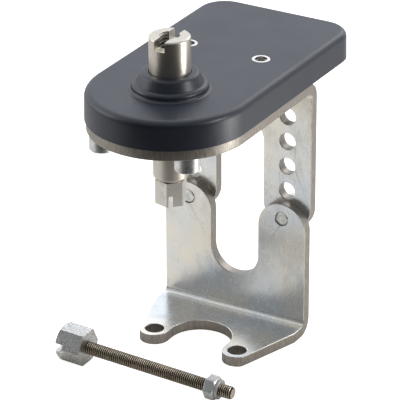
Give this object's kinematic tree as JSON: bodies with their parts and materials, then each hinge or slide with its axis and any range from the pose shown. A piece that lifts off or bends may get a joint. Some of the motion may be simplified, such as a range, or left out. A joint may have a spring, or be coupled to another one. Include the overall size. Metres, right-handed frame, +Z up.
{
  "type": "watch movement holder stand",
  "caption": "Bent sheet stand holding a padded plate with a slotted clamp post above a hooked foot, with a loose slotted screw and lock nut beside it.",
  "frame": {"origin": "midway between the centres of the two fixing holes of the foot, on the foot's underside, which is also the floor", "axes": "+X to the right seen from the open front, +Y from the lobed front of the foot towards the legs at the back, +Z up"},
  "size_m": [0.0725, 0.1153, 0.1325],
  "materials": {
    "stainless_sheet": "brushed, with laser-cut edges",
    "black_pad": "satin moulded rubber-like plastic",
    "turned_steel": "turned, bright",
    "zinc_screw": "zinc plated",
    "bright_insert": "turned, bright",
    "brass_bush": "turned",
    "dark_rod": "dark, oiled thread",
    "nylon_ring": "plain"
  },
  "bodies": {
    "stand": {"top_bracket": "stainless_sheet", "foot_bracket": "stainless_sheet", "top_pad": "black_pad", "insert_left": "bright_insert", "insert_right": "bright_insert", "clamp_post": "turned_steel", "pad_screw_left": "zinc_screw", "pad_screw_right": "zinc_screw", "pad_bush_left": "brass_bush", "pad_bush_right": "brass_bush"},
    "post_washer": {"post_washer": "turned_steel"},
    "post_screw": {"post_screw": "turned_steel"},
    "leg_washer_left": {"leg_washer_left": "zinc_screw"},
    "leg_washer_right": {"leg_washer_right": "zinc_screw"},
    "leg_bolt_left": {"leg_bolt_left": "zinc_screw"},
    "leg_bolt_right": {"leg_bolt_right": "zinc_screw"},
    "long_screw": {"long_screw_head": "turned_steel", "long_screw_rod": "dark_rod"},
    "lock_nut_ring": {"lock_nut_ring": "nylon_ring"},
    "lock_nut": {"lock_nut": "zinc_screw"}
  },
  "joints": [
    {"name": "post_washer_drop", "type": "slide", "parent": "stand", "child": "post_washer", "axis": [0, 0, -1], "range_m": [0, 0.012]},
    {"name": "post_screw_turn", "type": "hinge", "parent": "post_washer", "child": "post_screw", "pos_m": [0, -0.0174, 0.0774], "axis": [0, 0, -1], "range_deg": [0, 4321]},
    {"name": "leg_washer_left_draw", "type": "slide", "parent": "stand", "child": "leg_washer_left", "axis": [0, 1, 0], "range_m": [0, 0.0035]},
    {"name": "leg_bolt_left_turn", "type": "hinge", "parent": "leg_washer_left", "child": "leg_bolt_left", "pos_m": [-0.02, 0.0389, 0.046], "axis": [0, 1, 0], "range_deg": [0, 1261]},
    {"name": "leg_washer_right_draw", "type": "slide", "parent": "stand", "child": "leg_washer_right", "axis": [0, 1, 0], "range_m": [0, 0.0035]},
    {"name": "leg_bolt_right_turn", "type": "hinge", "parent": "leg_washer_right", "child": "leg_bolt_right", "pos_m": [0.02, 0.0389, 0.046], "axis": [0, 1, 0], "range_deg": [0, 1261]},
    {"name": "long_screw_lift", "type": "slide", "parent": "stand", "child": "long_screw", "axis": [0, 0, 1], "range_m": [0, 0.05]},
    {"name": "lock_nut_ring_travel", "type": "slide", "parent": "long_screw", "child": "lock_nut_ring", "axis": [0.9992, 0, -0.0407], "range_m": [-0.04, 0.004]},
    {"name": "lock_nut_turn", "type": "hinge", "parent": "lock_nut_ring", "child": "lock_nut", "pos_m": [-0.029, -0.0292, 0.00624], "axis": [0.9992, 0, -0.0407], "range_deg": [-18001, 1801]}
  ],
  "couplings": [
    {"joint": "post_screw_turn", "follows": "post_washer_drop", "rad_per_m": 6283.2},
    {"joint": "leg_bolt_left_turn", "follows": "leg_washer_left_draw", "rad_per_m": 6283.2},
    {"joint": "leg_bolt_right_turn", "follows": "leg_washer_right_draw", "rad_per_m": 6283.2},
    {"joint": "lock_nut_turn", "follows": "lock_nut_ring_travel", "rad_per_m": 7854}
  ]
}
